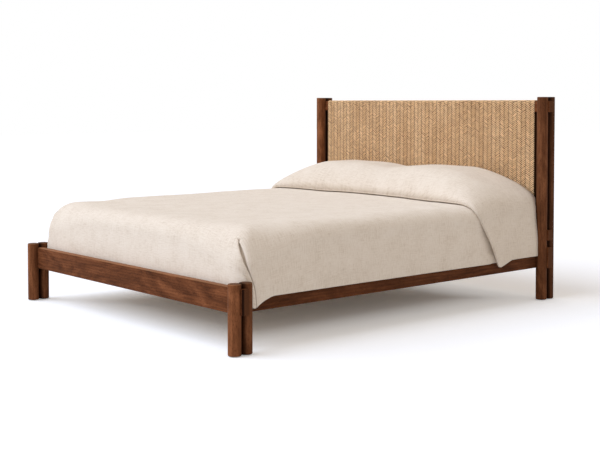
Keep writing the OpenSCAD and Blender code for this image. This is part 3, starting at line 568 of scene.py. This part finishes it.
def coverlet_half(side):
    """One half of the cloth, as rings of columns."""
    n_top, cols = len(INSETS), len(ZONE)
    back_share = 1 - np.linspace(0, 1, PILLOW_COLS) ** 0.72     # 1 at the head, 0 at the front of the pillow
    along, out = TUCK_ROLL.T
    P = np.zeros((n_top + len(SHARES), cols, 3))
    for j in range(len(P)):
        on_top = j < n_top
        inset, share, X, Y, r, z_side, z_corner = ring_plan(j)
        rim = 1 - min(inset, SOFT) / SOFT   # 0 on the flat top, 1 at the rim and below it

        # the part over the pillows and the tuck, with how far they stand off the body
        ax = min(X, HALF_W)
        y_head = np.interp(X, HEAD_STEP, [HEAD_Y, HEAD_SIDE_Y])
        y_tuck = tuck_at(ax, side) + TUCK_SLOPE * (TOP - z_side) - TUCK_SWAY * share ** 2
        reach = FLAP_REACH - 2 * rim
        stand = FLAP_STAND - 5 * rim + 17 * share
        y_front = y_tuck - reach
        y = y_front + back_share * (y_head - y_front)
        near_front = np.exp(-((y - y_front) / FLAP_FADE) ** 2)
        off, lift = np.zeros(cols), np.zeros(cols)
        off[:PILLOW_COLS] = stand - (1 - near_front) * (5 * rim + 14 * share)
        off[PILLOW_COLS:BODY_FROM] = out * stand
        if on_top:
            lift[:PILLOW_COLS] = pillow_lift(y, y_front, ax, side, reach, stand)
        y = np.concatenate([y, y_tuck + along * np.where(along > 0, TUCK_DEPTH, reach)])

        # the rest of the ring
        a, x_rest, y_rest = beyond_tuck(X, Y, r, z_corner, y[-1])
        if j == 0:                          # the innermost ring ends round
            y_rest = y_rest - 18 * np.where(a < 0, 1 - (x_rest / X) ** 2, 0)
        x = np.concatenate([np.full(BODY_FROM, X), x_rest])
        y = np.concatenate([y, y_rest])
        a = np.concatenate([np.full(BODY_FROM, FAR), a])

        if on_top:                          # it sags a little towards the foot
            sag = SAG * smooth((500 - (y + OUT_Y)) / 260) * (0.4 + 0.6 * smooth((x - 300) / 450))
            sag = sag * (1 - 0.9 * corner_share(a) ** 2)
            outward = smooth((rim - 0.55) / 0.45) * 0.9
            z = TOP - roll_fall(inset, a) + lift + off * math.sqrt(1 - outward ** 2) - sag
            x = x + off * outward
        else:                               # the body's part is drawn in behind the flap
            z_rim = P[n_top - 1, :, 2]
            z = z_rim - share * (z_rim - hem_height(y, off / stand, side))
            behind = (ZONE == BODY) | ((ZONE == TUCK) & (off < 0.3 * stand))
            drawn = DRAWN_IN * smooth((y - y_tuck + 85) / 75) * smooth((z - RAIL_TOP - 2) / 30)
            x = x + off * (0.9 + 0.1 * smooth(share / 0.4)) - drawn * smooth(share / 0.35) * behind
        P[j] = np.stack([x, y, z], axis=1)
    soften(P, side)
    P[..., 0] *= side
    return P


def build_coverlet():
    left, right = coverlet_half(-1), coverlet_half(1)
    rows, cols = right.shape[:2]
    ring = np.concatenate([left, right[:, ::-1][:, 1:]], axis=1)
    n = ring.shape[1]
    place = np.concatenate([np.arange(cols), np.arange(cols)[::-1][1:]])
    # the cloth's flat coordinates, for the weave: the top lies as it is, the sides fold out from it
    folds_at = len(INSETS) - 12
    step = np.linalg.norm(np.diff(ring, axis=0), axis=2)
    run = np.cumsum(np.vstack([np.zeros((1, n)), step]), axis=0)
    over = np.maximum(run - run[folds_at][None, :], 0)
    base = ring[folds_at][None, :, :]
    on_foot = (place >= CORNER_FROM + CAVITY)[None, :]
    away = np.where(np.arange(n) < cols, -1.0, 1.0)[None, :]
    down = over > 0
    u = np.where(down & ~on_foot, base[..., 0] + away * over, ring[..., 0])
    v = np.where(down & on_foot, base[..., 1] - over, ring[..., 1])
    uv = np.stack([u, v], axis=-1).reshape(-1, 2) * MM
    faces = grid_faces(rows, n)
    for i in range(cols - 1):               # the spine, between the innermost ring's two arms
        a, b, c, d = i, i + 1, n - 2 - i, n - 1 - i
        faces.append((a, d, b) if b == c else (a, d, c, b))
    obj = mesh_object("coverlet_cloth", ring.reshape(-1, 3), faces, uv)
    # painted shade: the pillows' part is made a little darker and warmer than the rest
    flap = np.tile(place < FLAP_COLS, rows)[:, None]
    shade_vertices(obj, np.where(flap, [0.95, 0.94, 0.925, 1.0], [1.0, 1.0, 1.0, 1.0]))
    solid = obj.modifiers.new("thickness", "SOLIDIFY")
    solid.thickness = 0.0026
    solid.offset = -1
    return obj


coverlet = build_coverlet()
soft_piece(coverlet, "coverlet", linen())


# ---------------------------------------------------------------- mattress and pillows

CORNERS = ((1, 1), (-1, 1), (-1, -1), (1, -1))


def soft_outline(hx, hy, r, bow, per, side):
    """A rounded rectangle with drawn-in sides, and each point's distance from the nearest corner.

    Each corner has per + 1 points, and each side has side - 1 between them."""
    points, far = [], []
    for q in range(4):
        centre, following = (np.array([sx * (hx - r), sy * (hy - r)])
                             for sx, sy in (CORNERS[q], CORNERS[(q + 1) % 4]))
        out = np.array([math.cos(math.pi / 2 * (q + 1)), math.sin(math.pi / 2 * (q + 1))])
        for k in range(per + 1):
            angle = math.pi / 2 * (q + k / per)
            points.append(centre + r * np.array([math.cos(angle), math.sin(angle)]))
            far.append(abs(k / per - 0.5) * r * math.pi / 2)
        for k in range(1, side):
            f = k / side
            points.append(centre + f * (following - centre) + (r - bow * math.sin(math.pi * f)) * out)
            far.append(r * math.pi / 4 + min(f, 1 - f) * float(np.linalg.norm(following - centre)))
    return np.array(points), np.array(far)


def ring_mesh(name, rings, bottom, top):
    """A closed form from rings of points, the lowest first, and the points in its middle below and above."""
    n = len(rings[0])
    verts = np.concatenate([*rings, [bottom], [top]])
    faces = []
    for j in range(len(rings) - 1):
        for i in range(n):
            a, b = j * n + i, j * n + (i + 1) % n
            faces.append((a, b, b + n, a + n))
    base, last = len(rings) * n, (len(rings) - 1) * n
    for i in range(n):
        faces.append((base, (i + 1) % n, i))
        faces.append((base + 1, last + i, last + (i + 1) % n))
    return mesh_object(name, verts, faces)


MATTRESS_R = 128.0                          # the radius of its corners, seen from above
LOWER_IN = 3.0                              # how far in its lower edge is
SIDE_IN, SIDE_BOW = 9.0, 2.0                # how far its sides are drawn in, and how much more halfway up
CLOTH_ROOM = 4.0                            # how far in and down its soft edge begins, so the cloth has room
SIDE_FROM = 60.0                            # the height over the slats where the sides begin
SEAM_BELOW, SEAM_LEAST = 8.0, 70.0          # the upper seam below the soft edge, and its least height
TOP_LEAST = 82.0                            # the soft edge's least height
TOP_GAP = 3.0                               # from the bed's top down to the middle of the mattress's
# The lower edge with its piped seam: how far in, and how high
PIPED_EDGE = [(300, 0.3), (60, 0.3), (22, 1), (8, 6), (1.5, 15), (0.3, 22), (-2.4, 25), (-2.4, 29),
              (1.5, 33), (5, 48)]
# The upper seam: how far in, and how far above its own lower line
UPPER_SEAM = [(3.5, 2), (3.5, 6), (7, 9)]
# The rings over the soft top: how far in
TOP_INSETS = [4, 8, 15, 25, 40, 60, 85, 115, 150, 210, 300, 450]


def build_mattress():
    """A soft-topped mattress: a piped seam low down, one below the soft edge, and sides drawn in between."""
    rings = []

    def ring(hx, hy, r, height):
        outline, far = soft_outline(hx, hy, r, 0, 10, 20)
        rings.append(np.column_stack([outline, np.broadcast_to(height(far), len(outline))]))

    def tapered(s):
        return MATTRESS_R - 0.35 * min(s, SOFT)

    def seam(far):
        return np.maximum(BED_TOP - CLOTH_ROOM - roll_height(far) - SEAM_BELOW, SLAT_TOP + SEAM_LEAST)

    for s, z in PIPED_EDGE:
        ring(HALF_W - LOWER_IN - s, HALF_L - LOWER_IN - s, tapered(s), lambda far: SLAT_TOP + z)
    for f in np.linspace(0, 1, 9):
        ring(HALF_W - SIDE_IN - SIDE_BOW * math.sin(math.pi * f), HALF_L - SIDE_IN, MATTRESS_R,
             lambda far: (SLAT_TOP + SIDE_FROM) * (1 - f) + seam(far) * f)
    for s, dz in UPPER_SEAM:
        ring(HALF_W - s, HALF_L - s, MATTRESS_R, lambda far: seam(far) + dz)
    for s in TOP_INSETS:
        crown = BED_TOP - TOP_GAP - 2.5 * math.exp(-s / 90)
        below = 0 if s > 100 else 3         # the edge lies a little lower than the rest
        ring(HALF_W - CLOTH_ROOM - s, HALF_L - CLOTH_ROOM - s, tapered(s),
             lambda far: np.maximum(crown - roll_fall(s + 2.0, far) - below, SLAT_TOP + TOP_LEAST))
    return ring_mesh("mattress_pad", rings, (0, 0, SLAT_TOP + PIPED_EDGE[0][1]), (0, 0, BED_TOP - TOP_GAP))


PILLOW_GAP, PILLOW_END, PILLOW_BACK = 12.0, 62.0, 10.0      # from the middle, the side and the head
PILLOW_H = 164.0                            # its height at its highest
PILLOW_BOW, PILLOW_SUNK = 12.0, 2.5         # how far its sides are drawn in, and how deep it sinks in
# A pillow's rings from its base to its crown: size and height, as shares
PILLOW_RINGS = [
    (0.62, 0.005), (0.80, 0.02), (0.90, 0.07), (0.955, 0.15), (0.985, 0.24), (0.995, 0.33), (1.0, 0.37),
    (0.992, 0.41), (0.975, 0.50), (0.94, 0.60), (0.88, 0.70), (0.79, 0.80), (0.66, 0.885), (0.48, 0.95),
    (0.26, 0.985)]


def build_pillow(side):
    """A crowned pillow, as high as the cloth over it needs at each place across the bed."""
    width = HALF_W - PILLOW_GAP - PILLOW_END
    cx, cy = side * (PILLOW_GAP + width / 2), HALF_L - PILLOW_BACK - PILLOW_D / 2
    base = BED_TOP - PILLOW_SUNK
    rings = []
    for s, z in PILLOW_RINGS:
        hx, hy = width / 2 * (0.4 + 0.6 * s) - 2, PILLOW_D / 2 * s - 2
        outline = soft_outline(hx, hy, 46 * s, PILLOW_BOW, 8, 14)[0]
        x = cx + outline[:, 0]
        lift = lift_across(np.minimum(np.abs(x), HALF_W))
        rings.append(np.column_stack([x, cy + outline[:, 1], base + z * PILLOW_H * lift]))
    crown = base + PILLOW_H * lift_across(abs(cx))
    name = "pillow_pad_right" if side > 0 else "pillow_pad_left"
    return ring_mesh(name, rings, (cx, cy, base), (cx, cy, crown))


tick = ticking()
mattress = build_mattress()
soft_piece(mattress, "mattress", tick)
for side, node in ((-1, "pillow_left"), (1, "pillow_right")):
    pillow = build_pillow(side)
    soft_piece(pillow, node, tick)


# ---------------------------------------------------------------- woven headboard

PANEL_HALF = 883.0                          # half of the weave's width
WRAP_LOW, WRAP_HIGH = 341.0, 1137.0         # the lower rail's underside and the top rail's top
CLEAR = 0.3                                 # between the rails and the cord
WRAP_R = 5.0                                # the radius of the cord's turn over a rail's edge
WEAVE_OFF = 2.3                             # from there out to the stitches' middle line
STITCH_COLS, STITCH_PITCH = 56, 11.2        # columns across, and stitches along the cord's way


def wrap_path():
    """The cord's way round both rails.

    Gives a function from distances along it to (y, z) points and the ways out from them, then its length, and
    where the middle of its turn over the top rail's front edge is."""
    r = WRAP_R + WEAVE_OFF
    hy = (RAIL_T + 2 * CLEAR) / 2 + WEAVE_OFF
    hz = (WRAP_HIGH - WRAP_LOW + 2 * CLEAR) / 2 + WEAVE_OFF

    def straight(a, b):
        a, b = np.array(a), np.array(b)
        length = np.linalg.norm(b - a)
        t = (b - a) / length
        return length, lambda d: (a + t * d, np.array([-t[1], t[0]]))

    def turn(centre, start):
        def at(d):
            angle = math.radians(start) - d / r
            out = np.array([math.cos(angle), math.sin(angle)])
            return np.array(centre) + r * out, out
        return r * math.pi / 2, at

    parts = [straight((-hy, -hz + r), (-hy, hz - r)), turn((-hy + r, hz - r), 180),
             straight((-hy + r, hz), (hy - r, hz)), turn((hy - r, hz - r), 90),
             straight((hy, hz - r), (hy, -hz + r)), turn((hy - r, -hz + r), 0),
             straight((hy - r, -hz), (-hy + r, -hz)), turn((-hy + r, -hz + r), -90)]
    total = sum(length for length, at in parts)
    top_turn = 2 * hz - 2 * r + r * math.pi / 4

    def walk(d):
        for length, at in parts:
            if d <= length:
                return at(d)
            d -= length

    table = np.linspace(0, total, 4000)
    points, outs = (np.array(v) for v in zip(*(walk(min(d, total - 1e-6)) for d in table)))

    def follow(dist):
        d = dist % total
        return [[np.interp(d, table, v[:, k]) for k in (0, 1)] for v in (points, outs)]

    return follow, total, top_turn


def build_stitches(follow, total, top_turn, mid_z):
    """Cord stitches in upright columns whose slant turns over from one to the next."""
    n_cols, n_rows = STITCH_COLS, int(round(total / STITCH_PITCH))
    pitch_x, pitch_s = 2 * PANEL_HALF / n_cols, total / n_rows
    each = (n_cols, n_rows, 1, 1)
    # one stitch is a flattened half capsule, its length across the column
    nl, nc = 6, 5
    long = np.linspace(-1, 1, nl)[None, None, :, None]
    bend = np.linspace(-1.15, 1.15, nc)[None, None, None, :] * 1.25
    width = np.sqrt(np.clip(1 - np.abs(long) ** 3.4, 0.06, 1))
    rng = np.random.default_rng(3)
    col = np.arange(n_cols)[:, None, None, None]
    row = np.arange(n_rows)[None, :, None, None]
    jitter = rng.normal(0, 0.5, (3, *each))
    size = 1 + rng.normal(0, 0.06, each)
    tone = np.clip(rng.normal(1.03, 0.06, each), 0.86, 1.2)
    lean = np.where(col % 2, 0.95, -0.95) + rng.normal(0, 0.05, each)
    gap = np.repeat(rng.uniform(0.0, 0.55, n_cols // 2), 2)[:, None, None, None]   # between pairs of columns
    centre = (row + 0.5 * (col % 2) + 0.25) * pitch_s
    lean = lean * (1 - 0.75 * np.exp(-((centre - top_turn) / 20) ** 2))     # it eases off over the top rail
    ds = long * lean * pitch_s * 0.95 + jitter[0] + width * 0.40 * pitch_s * size * np.sin(bend)
    height = width * 2.6 * np.cos(bend) + 0.25 * jitter[1]
    (py, pz), (ny, nz) = follow(centre + ds)
    x = -PANEL_HALF + (col + 0.5) * pitch_x + np.where(col % 2, -gap, gap) + long * pitch_x * 0.535
    x = np.clip(x + 0.3 * jitter[2] + 0 * ds, -PANEL_HALF - 1.5, PANEL_HALF + 1.5)
    verts = np.stack([x, RAIL_Y + py + ny * height, mid_z + pz + nz * height], axis=-1)
    u = (long + 1) / 2 + 0.37 * col + 0 * ds
    v = (bend / 1.25 + 1.15) / 2.3 + 0.61 * row + 0 * ds
    quad = np.array([(i * nc + k, (i + 1) * nc + k, (i + 1) * nc + k + 1, i * nc + k + 1)
                     for i in range(nl - 1) for k in range(nc - 1)])
    start = np.arange(n_cols * n_rows)[:, None, None] * (nl * nc)
    obj = mesh_object("woven_cord", verts.reshape(-1, 3), (quad[None] + start).reshape(-1, 4),
                      np.stack([u, v], axis=-1).reshape(-1, 2))
    shade = (tone + 0 * ds).astype(np.float32).ravel()
    shade_vertices(obj, np.stack([shade, shade * 0.99, shade * 0.96, np.ones_like(shade)], axis=1))
    return obj


def build_ground(follow, total, mid_z):
    """The ground behind the stitches, a sleeve with closed edges, whose dark colour is painted shade."""
    n, thick, inset = 240, 1.9, 5
    points, outs = (np.stack(v, axis=1) for v in follow(np.arange(n) * total / n))
    section = np.concatenate([points, points - thick * outs])
    ends = (-PANEL_HALF + inset, PANEL_HALF - inset)
    verts = [(x, RAIL_Y + y, mid_z + z) for x in ends for y, z in section]
    faces = []
    for k in range(n):
        after = (k + 1) % n
        faces.append((k, after, 2 * n + after, 2 * n + k))
        faces.append((n + after, n + k, 3 * n + k, 3 * n + after))
        faces.append((after, k, n + k, n + after))
        faces.append((2 * n + k, 2 * n + after, 3 * n + after, 3 * n + k))
    return mesh_object("cord_ground", verts, faces)


follow, total, top_turn = wrap_path()
mid_z = (WRAP_LOW + WRAP_HIGH) / 2
weave = build_stitches(follow, total, top_turn, mid_z)
ground = build_ground(follow, total, mid_z)
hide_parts("rope_panel")
for piece, material in ((weave, cord_material()), (ground, painted_shade_cord())):
    piece.data.materials.append(material)
    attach(piece, "frame")


# ---------------------------------------------------------------- carried-over pieces

def assign(material, *names):
    for name in names:
        nodes[name].data.materials.clear()
        nodes[name].data.materials.append(material)


def ease(node, width):
    """Round a piece's edges a little."""
    weld = nodes[node].modifiers.new("weld", "WELD")
    weld.merge_threshold = 0.00001
    bevel = nodes[node].modifiers.new("ease", "BEVEL")
    bevel.width = width
    bevel.segments = 2
    bevel.limit_method = "ANGLE"
    bevel.angle_limit = math.radians(50)


def top_of(node):
    return max((nodes[node].matrix_world @ v.co).z for v in nodes[node].data.vertices)


# How light each post's stain is, first the outer or front one: partly tone that differs between pieces,
# partly painted light and shade, with the rear and inner posts darker where they stand in shade
POST_TONE_AND_SHADE = {("left", "foot"): (1.15, 0.95), ("left", "head"): (1.15, 0.62),
             ("right", "foot"): (1.30, 0.92), ("right", "head"): (0.86, 0.56)}
PAIR_NAMES = {"foot": ("outer", "inner"), "head": ("front", "rear")}
# The rails: grain, the point that their rings centre on, and tone; the side rails' darker tone is partly a
# difference between boards, partly painted shade under the cloth's hem
RAILS = {
    "foot_rail": ("X", (0, -1.160, 0.10), 0.88), "head_rail": ("X", (0, 1.16, 0.10), 0.95),
    "headboard_lower_rail": ("X", (0, 1.15, 0.45), 0.95), "headboard_top_rail": ("X", (0, 1.06, 1.02), 0.95),
    "side_rail_left": ("Y", (-0.99, 0, 0.12), 0.62), "side_rail_right": ("Y", (0.99, 0, 0.12), 0.62)}

seed = 0
for side, sx in (("left", -1), ("right", 1)):
    for end, sy in (("foot", -1), ("head", 1)):
        for place, offset, light in zip(PAIR_NAMES[end], (-PAIR, PAIR), POST_TONE_AND_SHADE[side, end]):
            seed += 1
            node = "%s_%s_%s_post" % (end, side, place)
            heart = (sx * POST_X * MM, (sy * RAIL_Y + offset) * MM, 0)
            tone = (light, 1.09 * light, 1.16 * light)
            # each post gets a painted highlight on its top edge and painted shade at the seam with its twin
            assign(wood("walnut_" + node, "Z", heart, seed, tone, figured=0.56, streaked=0.42,
                        top=top_of(node), joint=RAIL_Y * MM), node)
for node, (grain, heart, tone) in RAILS.items():
    seed += 1
    name, tone = "walnut_" + node, (tone, tone, tone)
    if node == "foot_rail":                 # the rail that is seen from close by
        # with a painted highlight along its top edge and painted shade on the front edges of its ends
        assign(wood(name, grain, heart, seed, tone, top=top_of(node),
                    shaded_end=(RAIL_Y + RAIL_T / 2) * MM), node)
        ease(node, 0.003)
    else:
        assign(wood(name, grain, heart, seed, tone), node)
        ease(node, 0.0012)

for i in range(1, 15):
    assign(pine("pine_slat_%d" % i, i, "X"), "slat_%d" % i)
for node, grain in (("ledger_left", "Y"), ("ledger_right", "Y"), ("centre_beam", "Y"),
                    ("centre_leg_foot", "Z"), ("centre_leg_head", "Z")):
    assign(pine("pine_" + node, len(node), grain), node)
assign(fitting("black_coated_steel", (0.018, 0.018, 0.02), 0.0, 0.45),
       "bracket_foot_left", "bracket_foot_right", "bracket_head_left", "bracket_head_right",
       "beam_hanger_foot", "beam_hanger_head")
assign(fitting("zinc_plated_steel", (0.55, 0.56, 0.58), 1.0, 0.32),
       "post_bolts", "bolt_inserts", "bracket_screws", "hanger_screws", "ledger_screws", "slat_screws",
       "leg_studs")
assign(fitting("dark_nylon", (0.02, 0.02, 0.02), 0.0, 0.5), "post_glides", "levelling_feet")


# ---------------------------------------------------------------- stage, light and camera

FLOOR_DROP = 0.0005                         # the floor lies just under the bed
FLOOR_SEEN, FLOOR_LIT = (0.92, 0.95, 1.0), (0.80, 0.80, 0.80)
GLOW_X, GLOW_Y = 0.985, 1.17                # half of the bed's outline on the floor
GLOW_FROM, GLOW_SCALE = 0.9, 0.7            # the ramp starts 0.9 m inside it, and is 1 / 0.7 m long
# The floor's glow to the eye, painted light that whitens the floor and lightens the bed's shadow round its
# edges, leaving it darker under the middle: place on the ramp, strength
PAINTED_FLOOR_GLOW = [(0.04, 0.035), (0.21, 0.05), (0.315, 0.085), (0.42, 0.235), (0.49, 0.30),
        (0.63, 0.28), (0.735, 0.225), (0.82, 0.17), (0.91, 0.14)]


def floor_material():
    """White to the eye and in reflections, with painted light that shapes the bed's shadow, a plain light
    grey to the light, and without any gloss.
    """
    m = Nodes("floor_white")
    seen = seen_directly(m.tree)
    spot = m.split(m.coords())
    past_side = m.math("SUBTRACT", m.size(spot["X"]), GLOW_X)
    past_end = m.math("SUBTRACT", m.size(spot["Y"]), GLOW_Y)
    outside = m.math("MAXIMUM", past_side, past_end)
    on_ramp = m.math("MULTIPLY", m.math("ADD", outside, GLOW_FROM), GLOW_SCALE)
    # painted light: the glow is weak under the middle of the bed and strongest just inside its outline
    painted_glow = m.ramp(on_ramp, *((place, (strength,) * 3) for place, strength in PAINTED_FLOOR_GLOW))
    return m.finish(m.mix(seen, FLOOR_LIT, FLOOR_SEEN), 0.9, Specular_IOR_Level=0.0,
                    Emission_Color=WHITE, Emission_Strength=m.math("MULTIPLY", seen, painted_glow))


bpy.ops.mesh.primitive_plane_add(size=60, location=(0, 0, -FLOOR_DROP))
floor = bpy.context.active_object
floor.name = "floor"
floor.data.materials.append(floor_material())

# One soft, distant lamp, from the left of the camera
toward_lamp = Vector((-0.26, -0.39, 0.48))
lamp = bpy.data.lights.new("key", "SUN")
lamp.energy = 1.92
lamp.angle = math.radians(60)
lamp.color = (0.93, 1.03, 1.20)
key = bpy.data.objects.new("key", lamp)
key.location = toward_lamp * 6
key.rotation_euler = toward_lamp.to_track_quat("Z", "Y").to_euler()
bpy.context.collection.objects.link(key)

# The world lights the bed evenly, a little warm, and is white to the eye and in reflections
WORLD_LIGHT = (0.60, 0.533, 0.462)
world = bpy.data.worlds.new("studio")
bpy.context.scene.world = world
world.use_nodes = True
world_tree = world.node_tree
tint = world_tree.nodes.new("ShaderNodeMix")
tint.data_type = "RGBA"
tint.inputs["A"].default_value = (*WORLD_LIGHT, 1)
tint.inputs["B"].default_value = (*WHITE, 1)
world_tree.links.new(seen_directly(world_tree), tint.inputs["Factor"])
world_tree.links.new(tint.outputs["Result"], world_tree.nodes["Background"].inputs["Color"])

CAM_PLACE = (4.8856, -4.1420, 1.1295)
CAM_YAW, CAM_PITCH = math.radians(49.28), math.radians(2.22)    # turned to the left, and down
looking = Vector((-math.sin(CAM_YAW) * math.cos(CAM_PITCH), math.cos(CAM_YAW) * math.cos(CAM_PITCH),
                  -math.sin(CAM_PITCH)))
lens = bpy.data.cameras.new("camera")
lens.sensor_width = 36
lens.lens = 67.284
lens.shift_y = -0.1338
lens.clip_end = 200
camera = bpy.data.objects.new("camera", lens)
camera.location = CAM_PLACE
camera.rotation_euler = looking.to_track_quat("-Z", "Y").to_euler()
bpy.context.collection.objects.link(camera)
bpy.context.scene.camera = camera
bpy.context.scene.view_settings.view_transform = "Standard"
